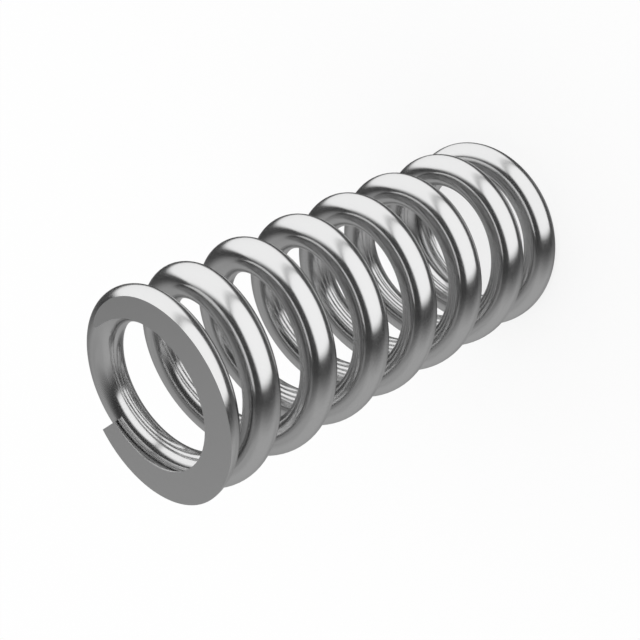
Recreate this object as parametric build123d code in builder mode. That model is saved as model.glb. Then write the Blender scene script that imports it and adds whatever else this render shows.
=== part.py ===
from build123d import *

import os
from math import ceil, cos, sin, tau

# A valve spring: one length of round wire, coiled left-handed, with both ends closed and ground flat.
# It stands on its lower end. The origin is the middle of that end, on the ground plane, and +Z is the
# axis of the coil. The lower end of the wire starts at +X.

# Driving dimensions, in millimetres, or in turns of the wire about the axis
wire_diameter = 4.0
mean_coil_diameter = 20.6  # of the circle that the middle of the wire follows
free_length = 58.0  # unloaded, over the two ground ends
total_turns = 8.06
closed_turns = 1.0  # wound close at each end, for the seat
ramp_turns = 0.2  # in which the pitch opens from the closed turn to the working turns
closed_gap = 0.1  # between the wire's end and the turn that it lies against
tip_thickness = 0.75  # what the grinding leaves of the wire at its very end
points_per_turn = 24  # that the middle of the wire is drawn through

wire_radius = wire_diameter / 2
coil_radius = mean_coil_diameter / 2

# The end of the wire sits partly below the ground plane, so that only its tip_thickness is left
end_height = tip_thickness - wire_radius
closed_pitch = wire_diameter + closed_gap
working_turns = total_turns - 2 * closed_turns
wire_rise = free_length - 2 * end_height
working_pitch = (wire_rise - 2 * closed_turns * closed_pitch) / working_turns


def rise(turns):
    """How far the wire has climbed, so many turns from its nearer end."""
    ramp_start = closed_turns - ramp_turns / 2
    ramp_end = closed_turns + ramp_turns / 2
    if turns <= ramp_start:
        opened_turns = 0
    elif turns < ramp_end:
        opened_turns = (turns - ramp_start) ** 2 / (2 * ramp_turns)
    else:
        opened_turns = turns - closed_turns
    return closed_pitch * turns + (working_pitch - closed_pitch) * opened_turns


def wire_middle(turns):
    """The middle of the wire, so many turns from its lower end. Its two halves are alike."""
    if turns < total_turns / 2:
        height = end_height + rise(turns)
    else:
        height = free_length - end_height - rise(total_turns - turns)
    angle = -tau * turns  # clockwise from above as it climbs, which is left-handed
    return (coil_radius * cos(angle), coil_radius * sin(angle), height)


spans = ceil(total_turns * points_per_turn)

with BuildPart() as valve_spring:
    with BuildLine() as wire_path:
        Spline(*[wire_middle(total_turns * point / spans) for point in range(spans + 1)])
    with BuildSketch(wire_path.line ^ 0):
        Circle(wire_radius)
    sweep(path=wire_path.line, is_frenet=True)
    # Both ends are ground square to the axis
    split(bisect_by=Plane.XY, keep=Keep.TOP)
    split(bisect_by=Plane.XY.offset(free_length), keep=Keep.BOTTOM)

valve_spring.part.label = "valve_spring"

os.makedirs("parts", exist_ok=True)
export_step(valve_spring.part, "parts/valve_spring.step")
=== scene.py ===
"""A polished valve spring, standing on the pale floor of a plain studio.

The spring is made as the real one is: the wire is wound turn by turn, its two ends are ground flat,
and the sharp edges that the grinding leaves are broken. Everything is in metres, with +Z up the axis
of the coil and the origin in the middle of the lower ground end.
"""

import math

import bmesh
import bpy
from mathutils import Matrix, Quaternion, Vector


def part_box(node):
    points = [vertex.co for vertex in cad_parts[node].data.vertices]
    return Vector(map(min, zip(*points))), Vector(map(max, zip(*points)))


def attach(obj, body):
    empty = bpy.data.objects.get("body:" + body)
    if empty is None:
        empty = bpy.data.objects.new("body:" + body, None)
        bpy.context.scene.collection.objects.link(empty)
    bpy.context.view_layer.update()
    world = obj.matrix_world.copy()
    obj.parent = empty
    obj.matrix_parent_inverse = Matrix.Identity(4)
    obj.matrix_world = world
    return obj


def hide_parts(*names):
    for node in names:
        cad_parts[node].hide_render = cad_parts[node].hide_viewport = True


bl_info = {
    "name": "Valve Spring",
    "version": (1, 0, 0),
    "blender": (4, 5, 0),
    "location": "View3D > Sidebar > Valve Spring",
    "description": "Winds a valve spring, grinds its ends and sets up its studio",
    "category": "Add Mesh",
}

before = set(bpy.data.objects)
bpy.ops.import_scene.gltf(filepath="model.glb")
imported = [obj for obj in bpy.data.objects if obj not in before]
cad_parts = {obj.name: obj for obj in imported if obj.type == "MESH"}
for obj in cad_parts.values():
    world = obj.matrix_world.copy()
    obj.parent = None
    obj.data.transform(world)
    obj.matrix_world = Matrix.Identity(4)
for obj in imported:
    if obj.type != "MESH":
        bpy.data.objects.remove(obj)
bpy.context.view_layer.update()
FOOT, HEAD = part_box("valve_spring")
HALF_HEIGHT = (FOOT.z + HEAD.z) / 2  # of the spring, where the middle of the room is

MM = 0.001
WIRE_DIAMETER = 4 * MM
WIRE_PLACE = "place_on_straight_wire"
GROUND_SLOT = 1  # of the spring's materials, after the skin of the wire
SAME_POINT = 0.001 * MM
MOST_RINGS = 96  # in a stretch of wire that is wound in one go

# The marks and the grain in the steel are noise, and its scale is how many waves of it go into a metre
DRAWN_MARK_SCALE = 9000
DRAWN_MARK_DETAIL = 3
DRAWN_MARK_SQUEEZE = (1, 1, 0.02)  # along the wire, so that the marks are long
DRAWN_MARK_STRENGTH = 0.02
DRAWN_MARK_DEPTH = 0.02 * MM
GRAIN_SCALE = 60000
GRAIN_LEVEL = 0.61  # of the noise, above which the wire's skin is rough
GRAIN_EDGE = 0.01  # of the noise, over which the skin turns rough
WHEEL_MARK_SCALE = 12000
WHEEL_MARK_DETAIL = 4
WHEEL_MARK_SQUEEZE = (1, 0.03, 1)  # along Y, so that the marks are long
WHEEL_MARK_SPREAD = 0.04  # of roughness, up or down

FLOOR_RADIUS = 5
FLOOR_SIDES = 96
FLOOR_ROUGHNESS = 0.9
SENSOR_WIDTH = 36  # of the camera, in millimetres
FURTHEST_SEEN = 100  # by the camera

ROOM_REACH = 1.5  # half widths of the room, past its corners
DIMMING_START = 0.4  # half widths of the room, up or down
DIMMING_END = 1.25
DIMMED = 0.78  # what is left of a wall's tone there
SOFTBOX_DISTANCE = 0.8  # half widths of the room
GLOW_LAYER = "glow"

# Each surface of the room has the way it lies from the middle, before the room is turned, the
# direction in which its tone eases, in degrees from the room's turn, and its stops. A stop is a share
# of the half width that way, and how much of the dark or the grey tone the surface has there.
ROOM_SURFACES = {
    "wall_ahead": ((1, 0, 0), 90, ((-0.8, "dark", 1), (-0.05, "grey", 0.87), (1, "grey", 1))),
    "wall_beside": ((0, 1, 0), 0, ((-0.7, "dark", 1), (0.1, "grey", 1))),
    "wall_behind": ((-1, 0, 0), -90, ((0, "dark", 1), (0.8, "grey", 1))),
    "wall_opposite": ((0, -1, 0), 180, ((0, "dark", 1), (0.8, "grey", 1))),
    "ceiling": ((0, 0, 1), 40, ((0.08, "dark", 0.9), (0.88, "grey", 1.05))),
    "room_floor": ((0, 0, -1), 45, ((0.1, "dark", 1.67), (1.1, "grey", 1.18))),
}

# Each softbox has its azimuth from the room's turn and its elevation, in degrees, its share of the
# white tone, its reach right and left, and its rise down and up. Reach and rise are shares of its
# distance, to where it has faded by half.
SOFTBOXES = {
    "big_softbox": (180, 0, 1, (0.9, 0.885), (1.25, 1.055)),
    "side_softbox": (-99, 0, 0.98, (0.613, 1.054), (1.28, 0.975)),
    "low_panel": (-35, -84, 0.214, (0.27, 0.27), (0.27, 0.27)),
}


class SpringSizes(bpy.types.PropertyGroup):
    """The sizes of the spring. The outside and the length come from the frame."""

    wire_diameter: bpy.props.FloatProperty(
        name="Wire diameter",
        description="Thickness of the round wire",
        default=WIRE_DIAMETER,
        min=0.5 * MM,
        precision=5,
        unit="LENGTH",
        subtype="DISTANCE",
    )
    outside_diameter: bpy.props.FloatProperty(
        name="Outside diameter",
        description="Width of the coil over the wire",
        default=HEAD.x - FOOT.x,
        min=2 * MM,
        precision=5,
        unit="LENGTH",
        subtype="DISTANCE",
    )
    free_length: bpy.props.FloatProperty(
        name="Free length",
        description="Height of the unloaded spring over its two ground ends",
        default=HEAD.z - FOOT.z,
        min=2 * MM,
        precision=5,
        unit="LENGTH",
        subtype="DISTANCE",
    )
    total_turns: bpy.props.FloatProperty(
        name="Total turns",
        description="Turns of the wire from one end to the other",
        default=8.06,
        min=3,
    )
    closed_turns: bpy.props.FloatProperty(
        name="Closed turns",
        description="Turns at each end that are wound close, to seat the spring",
        default=1,
        min=0.5,
    )
    ramp_turns: bpy.props.FloatProperty(
        name="Ramp turns",
        description="Turns in which the pitch opens from the closed turn to the working turns",
        default=0.2,
        min=0.01,
    )
    closed_gap: bpy.props.FloatProperty(
        name="Closed gap",
        description="Gap between the wire's end and the turn that it lies against",
        default=0.1 * MM,
        min=0,
        precision=5,
        unit="LENGTH",
        subtype="DISTANCE",
    )
    tip_thickness: bpy.props.FloatProperty(
        name="Tip thickness",
        description="What the grinding leaves of the wire at its very end",
        default=0.75 * MM,
        min=0.1 * MM,
        precision=5,
        unit="LENGTH",
        subtype="DISTANCE",
    )
    edge_break: bpy.props.FloatProperty(
        name="Edge break",
        description="Width of the small bevel along the edges of the ground faces",
        default=0.015 * MM,
        min=0,
        precision=5,
        unit="LENGTH",
        subtype="DISTANCE",
    )
    sides_round_wire: bpy.props.IntProperty(
        name="Sides round the wire",
        description="Faces in one ring round the wire",
        default=80,
        min=12,
    )
    rings_per_turn: bpy.props.IntProperty(
        name="Rings per turn",
        description="Rings along one working turn of the wire",
        default=88,
        min=24,
    )
    rings_per_end_turn: bpy.props.IntProperty(
        name="Rings per end turn",
        description="Rings along one closed turn, whose shallow ground edge needs them",
        default=256,
        min=24,
    )


class SpringFinish(bpy.types.PropertyGroup):
    """The finish of the steel."""

    steel_colour: bpy.props.FloatVectorProperty(
        name="Steel colour",
        description="Colour of the bright steel",
        default=(0.605, 0.605, 0.605),
        min=0,
        max=1,
        subtype="COLOR",
    )
    edge_tint: bpy.props.FloatProperty(
        name="Edge tint",
        description="Share of its reflectance that the steel keeps where it is seen edgeways",
        default=0.82,
        min=0,
        max=1,
        subtype="FACTOR",
    )
    polish_roughness: bpy.props.FloatProperty(
        name="Polish roughness",
        description="Roughness of the polished skin of the wire",
        default=0.13,
        min=0,
        max=1,
        subtype="FACTOR",
    )
    grain_roughness: bpy.props.FloatProperty(
        name="Grain roughness",
        description="Roughness of the fine grain in the polish, too small to see by itself",
        default=0.277,
        min=0,
        max=1,
        subtype="FACTOR",
    )
    ground_roughness: bpy.props.FloatProperty(
        name="Ground roughness",
        description="Roughness of the ground end faces",
        default=0.3,
        min=0,
        max=1,
        subtype="FACTOR",
    )


class StudioLook(bpy.types.PropertyGroup):
    """The floor, the room that the steel mirrors, and the camera."""

    floor_colour: bpy.props.FloatVectorProperty(
        name="Floor colour",
        description="Colour of the pale floor",
        default=(0.98, 0.98, 0.98),
        min=0,
        max=1,
        subtype="COLOR",
    )
    floor_glow: bpy.props.FloatProperty(
        name="Floor glow",
        description="Share of plain white in the floor as the camera sees it, which keeps its shadow faint",
        default=0.75,
        min=0,
        max=1,
        subtype="FACTOR",
    )
    light_strength: bpy.props.FloatProperty(
        name="Light strength",
        description="Strength of the even white light from all round",
        default=1,
        min=0,
    )
    room_half_width: bpy.props.FloatProperty(
        name="Room half width",
        description="Distance of the mirrored room's walls and ceiling from the spring",
        default=2,
        min=0.5,
        unit="LENGTH",
        subtype="DISTANCE",
    )
    room_extra_depth: bpy.props.FloatProperty(
        name="Room extra depth",
        description="How much further off its floor is than its ceiling, as a share of the half width",
        default=0.25,
        min=0,
    )
    room_turn: bpy.props.FloatProperty(
        name="Room turn",
        description="Direction of the middle of the first grey wall, round the axis from +X",
        default=math.radians(-15),
        unit="ROTATION",
        subtype="ANGLE",
    )
    soft_edge: bpy.props.FloatProperty(
        name="Soft edge",
        description="Share of a softbox's width and height over which it fades, at each of its edges",
        default=0.18,
        min=0.01,
        max=0.49,
    )
    white_tone: bpy.props.FloatProperty(
        name="White tone",
        description="Brightness of the softboxes, which only the steel mirrors",
        default=1.4,
        min=0,
    )
    grey_tone: bpy.props.FloatProperty(
        name="Grey tone",
        description="Brightness of the light part of the mirrored room's walls",
        default=0.52,
        min=0,
    )
    dark_tone: bpy.props.FloatProperty(
        name="Dark tone",
        description="Brightness of the room's walls in its dark corners",
        default=0.075,
        min=0,
    )
    camera_azimuth: bpy.props.FloatProperty(
        name="Camera azimuth",
        description="Direction of the camera, round the axis from +X",
        default=math.radians(155.61),
        unit="ROTATION",
        subtype="ANGLE",
    )
    camera_elevation: bpy.props.FloatProperty(
        name="Camera elevation",
        description="Height of the camera over the horizon",
        default=math.radians(40.19),
        unit="ROTATION",
        subtype="ANGLE",
    )
    camera_roll: bpy.props.FloatProperty(
        name="Camera roll",
        description="Turn of the camera about its own view, so that the spring lies slantwise",
        default=math.radians(117.15),
        unit="ROTATION",
        subtype="ANGLE",
    )
    camera_distance: bpy.props.FloatProperty(
        name="Camera distance",
        description="Distance from the camera to the point that it looks at",
        default=152.92 * MM,
        min=1 * MM,
        precision=5,
        unit="LENGTH",
        subtype="DISTANCE",
    )
    camera_target: bpy.props.FloatVectorProperty(
        name="Camera target",
        description="The point that the camera looks at, close to the axis",
        default=(0.281 * MM, 0.626 * MM, 32.26 * MM),
        precision=5,
        unit="LENGTH",
        subtype="XYZ",
    )
    camera_lens: bpy.props.FloatProperty(
        name="Camera lens",
        description="Focal length in millimetres, on a sensor 36 mm wide",
        default=72.89,
        min=1,
    )


def new_mesh(name, shape):
    """A mesh of that shape. The shape is used up."""
    mesh = bpy.data.meshes.new(name)
    shape.to_mesh(mesh)
    shape.free()
    return mesh


def new_object(name, shape, materials):
    """An object of that shape and those materials, at the origin. The shape is used up."""
    mesh = new_mesh(name, shape)
    for material in materials:
        mesh.materials.append(material)
    thing = bpy.data.objects.new(name, mesh)
    bpy.context.scene.collection.objects.link(thing)
    return thing


def new_material(name):
    """A material, with its nodes and the links between them."""
    material = bpy.data.materials.new(name)
    material.use_nodes = True
    return material, material.node_tree.nodes, material.node_tree.links


class WirePath:
    """The middle of the wire, from its lower end to its upper one, wound left-handed."""

    def __init__(self, sizes):
        self.wire_radius = sizes.wire_diameter / 2
        self.coil_radius = (sizes.outside_diameter - sizes.wire_diameter) / 2
        self.free_length = sizes.free_length
        self.total_turns = sizes.total_turns
        self.closed_turns = sizes.closed_turns
        self.ramp_turns = sizes.ramp_turns
        # The end of the wire sits partly below the ground plane, so that only the tip is left
        self.end_height = sizes.tip_thickness - self.wire_radius
        self.closed_pitch = sizes.wire_diameter + sizes.closed_gap
        rise = self.free_length - 2 * self.end_height
        working_turns = self.total_turns - 2 * self.closed_turns
        self.working_pitch = (rise - 2 * self.closed_turns * self.closed_pitch) / working_turns

    def climb(self, turns):
        """How far the wire has climbed, so many turns from its nearer end."""
        ramp_start = self.closed_turns - self.ramp_turns / 2
        ramp_end = self.closed_turns + self.ramp_turns / 2
        if turns <= ramp_start:
            opened = 0
        elif turns < ramp_end:
            opened = (turns - ramp_start) ** 2 / (2 * self.ramp_turns)
        else:
            opened = turns - self.closed_turns
        return self.closed_pitch * turns + (self.working_pitch - self.closed_pitch) * opened

    def height(self, turns):
        """Height of the middle of the wire, so many turns from its lower end."""
        if turns < self.total_turns / 2:
            return self.end_height + self.climb(turns)
        return self.free_length - self.end_height - self.climb(self.total_turns - turns)

    def slope(self, turns):
        """How steeply the wire climbs there, as an angle."""
        near = min(turns, self.total_turns - turns)
        opened = (near - self.closed_turns) / self.ramp_turns + 0.5
        opened = min(max(opened, 0), 1)
        pitch = self.closed_pitch + (self.working_pitch - self.closed_pitch) * opened
        return math.atan2(pitch, math.tau * self.coil_radius)


def wind_stretch(path, start, end, steps, sides):
    """A stretch of the wire as an open tube: a ring of vertices, wound step by step round the axis."""
    wire = bmesh.new()
    place = wire.verts.layers.float_vector.new(WIRE_PLACE)
    ring = bmesh.ops.create_circle(wire, segments=sides, radius=path.wire_radius)["verts"]
    for vert in ring:
        vert[place] = vert.co
    upright = Matrix.Rotation(math.pi / 2 - path.slope(start), 4, "X")
    out = Matrix.Translation((path.coil_radius, 0, path.height(start)))
    turned = Matrix.Rotation(-math.tau * start, 4, "Z")
    bmesh.ops.transform(wire, matrix=turned @ out @ upright, verts=ring)
    geometry = ring + wire.edges[:]

    turns_per_step = (end - start) / steps
    for step in range(steps):
        before = start + step * turns_per_step
        after = before + turns_per_step
        climb = path.height(after) - path.height(before)
        geometry = bmesh.ops.spin(
            wire,
            geom=geometry,
            cent=(0, 0, 0),
            axis=(0, 0, 1),
            dvec=(0, 0, climb),
            angle=-math.tau * turns_per_step,
            steps=1,
        )["geom_last"]
        ring = [item for item in geometry if isinstance(item, bmesh.types.BMVert)]
        angle = -math.tau * after
        outward = Vector((math.cos(angle), math.sin(angle), 0))
        steeper = Matrix.Rotation(path.slope(before) - path.slope(after), 3, outward)
        middle = path.coil_radius * outward + Vector((0, 0, path.height(after)))
        bmesh.ops.rotate(wire, verts=ring, cent=middle, matrix=steeper)
    # How far along the wire each ring lies, for the marks that run along it
    wire.verts.ensure_lookup_table()
    for index, vert in enumerate(wire.verts):
        turns = start + index // sides * turns_per_step
        vert[place].z = turns * math.tau * path.coil_radius
    return wire


def split_turns(turns, rings_per_turn):
    """The stretches that so many turns are wound in, each with its turns and its number of rings."""
    rings = math.ceil(turns * rings_per_turn)
    stretches = math.ceil(rings / MOST_RINGS)
    steps = math.ceil(rings / stretches)
    return [(turns / stretches, steps)] * stretches


def wind_wire(path, sizes):
    """The whole wire before its ends are ground, joined from stretches, because short ones wind fast."""
    end_turns = path.closed_turns + path.ramp_turns / 2
    working_turns = path.total_turns - 2 * end_turns
    lengths = split_turns(end_turns, sizes.rings_per_end_turn)
    lengths += split_turns(working_turns, sizes.rings_per_turn)
    lengths += split_turns(end_turns, sizes.rings_per_end_turn)
    wire = bmesh.new()
    start = 0
    for turns, steps in lengths:
        stretch = wind_stretch(path, start, start + turns, steps, sizes.sides_round_wire)
        start += turns
        mesh = new_mesh("stretch", stretch)
        wire.from_mesh(mesh)
        bpy.data.meshes.remove(mesh)
    bmesh.ops.remove_doubles(wire, verts=wire.verts, dist=SAME_POINT)
    for face in wire.faces:
        face.smooth = True
    rims = [edge for edge in wire.edges if edge.is_boundary]
    for edge in rims:
        edge.smooth = False
    bmesh.ops.holes_fill(wire, edges=rims, sides=0)
    bmesh.ops.recalc_face_normals(wire, faces=wire.faces)
    return wire


def grind_end(wire, height, outward, edge_break):
    """Grinds the wire flat at that height, facing outward, and breaks the edge round the flat."""
    cut = bmesh.ops.bisect_plane(
        wire,
        geom=wire.verts[:] + wire.edges[:] + wire.faces[:],
        dist=SAME_POINT,
        plane_co=(0, 0, height - outward * edge_break),
        plane_no=(0, 0, outward),
        clear_outer=True,
    )["geom_cut"]
    rim = [item for item in cut if isinstance(item, bmesh.types.BMEdge)]
    flats = bmesh.ops.contextual_create(wire, geom=rim)["faces"]
    bmesh.ops.recalc_face_normals(wire, faces=wire.faces)
    broken = bmesh.ops.inset_region(
        wire,
        faces=flats,
        thickness=edge_break,
        depth=0,
        use_even_offset=True,
        use_boundary=True,
    )["faces"]
    flat_verts = {vert for face in flats for vert in face.verts}
    bmesh.ops.translate(wire, verts=list(flat_verts), vec=(0, 0, outward * edge_break))
    for face in flats + broken:
        face.material_index = GROUND_SLOT
        face.smooth = False
    for edge in rim + [edge for face in flats for edge in face.edges]:
        edge.smooth = False


def set_steel(shader, finish):
    """The bare metal that all of the spring is made of."""
    tint = finish.edge_tint
    shader.inputs["Metallic"].default_value = 1
    shader.inputs["Base Color"].default_value = (*finish.steel_colour, 1)
    shader.inputs["Specular Tint"].default_value = (tint, tint, tint, 1)


def long_marks(nodes, links, place, squeeze, scale, detail):
    """Noise in long marks, because the place that it reads is squeezed along them."""
    squeezed = nodes.new("ShaderNodeMapping")
    squeezed.inputs["Scale"].default_value = squeeze
    links.new(place, squeezed.inputs["Vector"])
    marks = nodes.new("ShaderNodeTexNoise")
    marks.inputs["Scale"].default_value = scale
    marks.inputs["Detail"].default_value = detail
    links.new(squeezed.outputs["Vector"], marks.inputs["Vector"])
    return marks.outputs["Fac"]


def drawn_wire_steel(finish):
    """Bright drawn wire: a close polish with a fine grain in it, and faint lengthwise marks."""
    material, nodes, links = new_material("bright_drawn_wire")
    shader = nodes["Principled BSDF"]
    set_steel(shader, finish)

    place = nodes.new("ShaderNodeAttribute")
    place.attribute_name = WIRE_PLACE
    on_wire = place.outputs["Vector"]
    grain = nodes.new("ShaderNodeTexNoise")
    grain.inputs["Scale"].default_value = GRAIN_SCALE
    grain.inputs["Detail"].default_value = 0
    links.new(on_wire, grain.inputs["Vector"])
    roughness = nodes.new("ShaderNodeMapRange")
    roughness.inputs["From Min"].default_value = GRAIN_LEVEL
    roughness.inputs["From Max"].default_value = GRAIN_LEVEL + GRAIN_EDGE
    roughness.inputs["To Min"].default_value = finish.polish_roughness
    roughness.inputs["To Max"].default_value = finish.grain_roughness
    links.new(grain.outputs["Fac"], roughness.inputs["Value"])
    links.new(roughness.outputs["Result"], shader.inputs["Roughness"])

    marks = long_marks(
        nodes, links, on_wire, DRAWN_MARK_SQUEEZE, DRAWN_MARK_SCALE, DRAWN_MARK_DETAIL
    )
    bump = nodes.new("ShaderNodeBump")
    bump.inputs["Strength"].default_value = DRAWN_MARK_STRENGTH
    bump.inputs["Distance"].default_value = DRAWN_MARK_DEPTH
    links.new(marks, bump.inputs["Height"])
    links.new(bump.outputs["Normal"], shader.inputs["Normal"])
    return material


def ground_steel(finish):
    """The ground end faces: flat grey steel with fine straight marks from the wheel."""
    material, nodes, links = new_material("ground_end_steel")
    shader = nodes["Principled BSDF"]
    set_steel(shader, finish)

    place = nodes.new("ShaderNodeTexCoord")
    marks = long_marks(
        nodes, links, place.outputs["Object"], WHEEL_MARK_SQUEEZE, WHEEL_MARK_SCALE, WHEEL_MARK_DETAIL
    )
    roughness = nodes.new("ShaderNodeMapRange")
    roughness.inputs["To Min"].default_value = finish.ground_roughness - WHEEL_MARK_SPREAD
    roughness.inputs["To Max"].default_value = finish.ground_roughness + WHEEL_MARK_SPREAD
    links.new(marks, roughness.inputs["Value"])
    links.new(roughness.outputs["Result"], shader.inputs["Roughness"])
    return material


class SPRING_OT_wind(bpy.types.Operator):
    """Winds the wire, grinds both ends flat and breaks their edges"""

    bl_idname = "valve_spring.wind"
    bl_label = "Wind the spring"

    def execute(self, context):
        sizes = context.scene.spring_sizes
        finish = context.scene.spring_finish
        path = WirePath(sizes)
        wire = wind_wire(path, sizes)
        grind_end(wire, 0, -1, sizes.edge_break)
        grind_end(wire, path.free_length, 1, sizes.edge_break)
        steels = [drawn_wire_steel(finish), ground_steel(finish)]
        spring = new_object("wound_wire", wire, steels)
        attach(spring, "root")
        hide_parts("valve_spring")
        return {"FINISHED"}


def light_from_all_round(strength):
    """An even white world."""
    world = bpy.data.worlds.new("white_studio")
    world.use_nodes = True
    background = world.node_tree.nodes["Background"]
    background.inputs["Color"].default_value = (1, 1, 1, 1)
    background.inputs["Strength"].default_value = strength
    bpy.context.scene.world = world


def add_stage_object(name, shape, materials):
    """An object of the stage, which isn't part of the spring."""
    thing = new_object(name, shape, materials)
    return thing


def pale_floor(look):
    """A pale matt floor. As it is seen, most of it is plain white, so its shadow shows only faintly."""
    material, nodes, links = new_material("pale_floor")
    matt = nodes["Principled BSDF"]
    matt.inputs["Base Color"].default_value = (*look.floor_colour, 1)
    matt.inputs["Roughness"].default_value = FLOOR_ROUGHNESS
    matt.inputs["Specular IOR Level"].default_value = 0
    white = nodes.new("ShaderNodeEmission")
    white.inputs["Color"].default_value = (1, 1, 1, 1)

    rays = nodes.new("ShaderNodeLightPath")
    seen = rays.outputs["Is Camera Ray"]
    for kind in ("Is Glossy Ray", "Is Transmission Ray"):
        either = nodes.new("ShaderNodeMath")
        either.operation = "ADD"
        links.new(seen, either.inputs[0])
        links.new(rays.outputs[kind], either.inputs[1])
        seen = either.outputs["Value"]
    share = nodes.new("ShaderNodeMath")
    share.operation = "MULTIPLY"
    share.inputs[1].default_value = look.floor_glow
    links.new(seen, share.inputs[0])

    both = nodes.new("ShaderNodeMixShader")
    links.new(share.outputs["Value"], both.inputs["Fac"])
    links.new(matt.outputs["BSDF"], both.inputs[1])
    links.new(white.outputs["Emission"], both.inputs[2])
    links.new(both.outputs["Shader"], nodes["Material Output"].inputs["Surface"])
    return material


def lay_floor(look):
    """A pale disc under the spring, far wider than the view."""
    disc = bmesh.new()
    bmesh.ops.create_circle(disc, cap_ends=True, segments=FLOOR_SIDES, radius=FLOOR_RADIUS)
    floor = add_stage_object("floor", disc, [pale_floor(look)])
    # The steel mirrors the lower half of the room instead
    floor.visible_glossy = False


def plain_glow(name, tone):
    """A surface that glows evenly by itself, with its nodes and links.

    It shows in reflections alone, so it isn't sampled as a lamp.
    """
    material, nodes, links = new_material(name)
    material.cycles.emission_sampling = "NONE"
    nodes.clear()
    shine = nodes.new("ShaderNodeEmission")
    shine.inputs["Color"].default_value = (tone, tone, tone, 1)
    output = nodes.new("ShaderNodeOutputMaterial")
    links.new(shine.outputs["Emission"], output.inputs["Surface"])
    return material, nodes, links


def softbox_glow(name, tone):
    """The front of a softbox, which fades to nothing at its edges."""
    material, nodes, links = plain_glow(name, tone)
    place = nodes.new("ShaderNodeAttribute")
    place.attribute_name = GLOW_LAYER
    fade = nodes.new("ShaderNodeMapRange")
    fade.interpolation_type = "SMOOTHSTEP"
    links.new(place.outputs["Fac"], fade.inputs["Value"])
    clear = nodes.new("ShaderNodeBsdfTransparent")
    both = nodes.new("ShaderNodeMixShader")
    links.new(fade.outputs["Result"], both.inputs["Fac"])
    links.new(clear.outputs["BSDF"], both.inputs[1])
    links.new(nodes["Emission"].outputs["Emission"], both.inputs[2])
    links.new(both.outputs["Shader"], nodes["Material Output"].inputs["Surface"])
    return material


def shaded_glow(name, half_width, towards, stops):
    """A surface of the room. Its tone eases from stop to stop, each a share of the half width that way.

    Away from half height it dims, so that the room is darker towards its ceiling and its floor.
    """
    material, nodes, links = plain_glow(name, 1)
    place = nodes.new("ShaderNodeTexCoord")
    along = nodes.new("ShaderNodeVectorMath")
    along.operation = "DOT_PRODUCT"
    along.inputs[1].default_value = (math.cos(towards), math.sin(towards), 0)
    links.new(place.outputs["Object"], along.inputs[0])
    share = nodes.new("ShaderNodeMapRange")
    share.inputs["From Min"].default_value = -ROOM_REACH * half_width
    share.inputs["From Max"].default_value = ROOM_REACH * half_width
    links.new(along.outputs["Value"], share.inputs["Value"])
    tones = nodes.new("ShaderNodeValToRGB")
    tones.color_ramp.interpolation = "EASE"
    tones.color_ramp.elements.remove(tones.color_ramp.elements[-1])
    for number, (distance, tone) in enumerate(stops):
        position = (distance / ROOM_REACH + 1) / 2
        if number == 0:
            stop = tones.color_ramp.elements[0]
            stop.position = position
        else:
            stop = tones.color_ramp.elements.new(position)
        stop.color = (tone, tone, tone, 1)
    links.new(share.outputs["Result"], tones.inputs["Fac"])
    links.new(tones.outputs["Color"], nodes["Emission"].inputs["Color"])

    upwards = nodes.new("ShaderNodeVectorMath")
    upwards.operation = "DOT_PRODUCT"
    upwards.inputs[1].default_value = (0, 0, 1 / half_width)
    links.new(place.outputs["Object"], upwards.inputs[0])
    height = nodes.new("ShaderNodeMath")
    height.operation = "ABSOLUTE"
    links.new(upwards.outputs["Value"], height.inputs[0])
    dimmer = nodes.new("ShaderNodeMapRange")
    dimmer.interpolation_type = "SMOOTHSTEP"
    dimmer.inputs["From Min"].default_value = DIMMING_START
    dimmer.inputs["From Max"].default_value = DIMMING_END
    dimmer.inputs["To Min"].default_value = 1
    dimmer.inputs["To Max"].default_value = DIMMED
    links.new(height.outputs["Value"], dimmer.inputs["Value"])
    links.new(dimmer.outputs["Result"], nodes["Emission"].inputs["Strength"])
    return material


def add_to_reflection(name, shape, materials):
    """An object of the stage that shows in reflections alone, and keeps no light off anything."""
    thing = add_stage_object(name, shape, materials)
    thing.visible_camera = False
    thing.visible_diffuse = False
    thing.visible_shadow = False
    thing.visible_transmission = False
    thing.visible_volume_scatter = False


def build_room(look):
    """The square grey room that the steel mirrors. Two of its opposite corners are dark."""
    half, turn = look.room_half_width, look.room_turn
    tones = {"dark": look.dark_tone, "grey": look.grey_tone}
    room = bmesh.new()
    bmesh.ops.create_cube(room, size=2 * half)
    surfaces = []
    for number, (name, (outward, towards, stops)) in enumerate(ROOM_SURFACES.items()):
        face = max(room.faces, key=lambda face: face.normal.dot(Vector(outward)))
        face.material_index = number
        toned = [(distance, share * tones[tone]) for distance, tone, share in stops]
        surfaces.append(shaded_glow(name, half, turn + math.radians(towards), toned))
    low_corners = [vert for vert in room.verts if vert.co.z < 0]
    bmesh.ops.translate(room, verts=low_corners, vec=(0, 0, -look.room_extra_depth * half))
    bmesh.ops.rotate(room, verts=room.verts, cent=(0, 0, 0), matrix=Matrix.Rotation(turn, 3, "Z"))
    bmesh.ops.translate(room, verts=room.verts, vec=(0, 0, HALF_HEIGHT))
    add_to_reflection("mirrored_room", room, surfaces)


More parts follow.
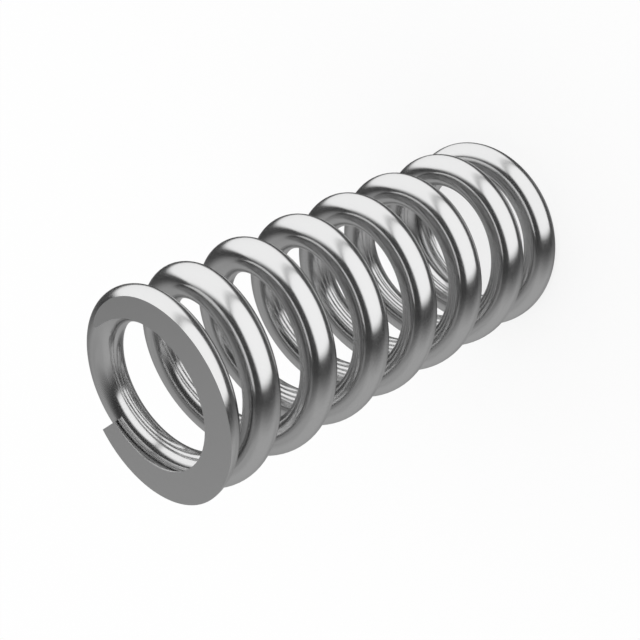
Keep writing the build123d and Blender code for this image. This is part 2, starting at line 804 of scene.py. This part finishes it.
def hang_softbox(name, look):
    """One of the softboxes, just inside the room. It fades across its edges."""
    azimuth, elevation, share, (right, left), (down, up) = SOFTBOXES[name]
    distance = SOFTBOX_DISTANCE * look.room_half_width
    softbox = bmesh.new()
    half_unit = 0.5  # a grid of this size is one unit wide
    bmesh.ops.create_grid(softbox, x_segments=1, y_segments=1, size=half_unit)
    glow = softbox.verts.layers.float.new(GLOW_LAYER)
    panel = softbox.faces[:]
    bmesh.ops.inset_region(
        softbox,
        faces=panel,
        thickness=look.soft_edge,
        use_even_offset=True,
        use_boundary=True,
    )
    for face in panel:
        for vert in face.verts:
            vert[glow] = 1
    spread = distance / (1 - look.soft_edge)
    sized = Matrix.Diagonal((spread * (up + down), spread * (left + right), 1, 1))
    upright = Matrix.Rotation(math.radians(-90), 4, "Y")
    middle = Vector((1, (left - right) / 2, (up - down) / 2)) * distance
    raised = Matrix.Rotation(-math.radians(elevation), 4, "Y")
    turned = Matrix.Rotation(look.room_turn + math.radians(azimuth), 4, "Z")
    at_spring = Matrix.Translation((0, 0, HALF_HEIGHT))
    place = at_spring @ turned @ raised @ Matrix.Translation(middle) @ upright @ sized
    bmesh.ops.transform(softbox, matrix=place, verts=softbox.verts)
    add_to_reflection(name, softbox, [softbox_glow(name, share * look.white_tone)])


def place_camera(look):
    """The camera, at the photograph's viewing angle."""
    data = bpy.data.cameras.new("camera")
    data.sensor_width = SENSOR_WIDTH
    data.lens = look.camera_lens
    data.clip_start = 1 * MM
    data.clip_end = FURTHEST_SEEN
    camera = bpy.data.objects.new("camera", data)
    bpy.context.scene.collection.objects.link(camera)
    flat = math.cos(look.camera_elevation)
    back = Vector(
        (
            flat * math.cos(look.camera_azimuth),
            flat * math.sin(look.camera_azimuth),
            math.sin(look.camera_elevation),
        )
    )
    camera.location = Vector(look.camera_target) + look.camera_distance * back
    camera.rotation_mode = "QUATERNION"
    level = (-back).to_track_quat("-Z", "Y")
    camera.rotation_quaternion = level @ Quaternion((0, 0, 1), -look.camera_roll)
    bpy.context.scene.camera = camera


class SPRING_OT_studio(bpy.types.Operator):
    """Adds the pale floor, the even light, the room that the steel mirrors, and the camera"""

    bl_idname = "valve_spring.studio"
    bl_label = "Set up the studio"

    def execute(self, context):
        look = context.scene.spring_studio
        light_from_all_round(look.light_strength)
        lay_floor(look)
        build_room(look)
        for name in SOFTBOXES:
            hang_softbox(name, look)
        place_camera(look)
        context.scene.view_settings.view_transform = "Standard"
        return {"FINISHED"}


class SPRING_PT_panel(bpy.types.Panel):
    """Lists the sizes, the finish and the studio, with their operators"""

    bl_label = "Valve Spring"
    bl_idname = "SPRING_PT_panel"
    bl_space_type = "VIEW_3D"
    bl_region_type = "UI"
    bl_category = "Valve Spring"

    def draw(self, context):
        for group in (
            context.scene.spring_sizes,
            context.scene.spring_finish,
            context.scene.spring_studio,
        ):
            box = self.layout.box()
            for name in group.__annotations__:
                box.prop(group, name)
        for operator in (SPRING_OT_wind, SPRING_OT_studio):
            self.layout.operator(operator.bl_idname)


CLASSES = (
    SpringSizes,
    SpringFinish,
    StudioLook,
    SPRING_OT_wind,
    SPRING_OT_studio,
    SPRING_PT_panel,
)
SCENE_GROUPS = {
    "spring_sizes": SpringSizes,
    "spring_finish": SpringFinish,
    "spring_studio": StudioLook,
}


def register():
    for cls in CLASSES:
        bpy.utils.register_class(cls)
    for name, group in SCENE_GROUPS.items():
        setattr(bpy.types.Scene, name, bpy.props.PointerProperty(type=group))


def unregister():
    for name in SCENE_GROUPS:
        delattr(bpy.types.Scene, name)
    for cls in reversed(CLASSES):
        bpy.utils.unregister_class(cls)


def main():
    register()
    bpy.ops.valve_spring.wind()
    bpy.ops.valve_spring.studio()


if __name__ == "__main__":
    main()
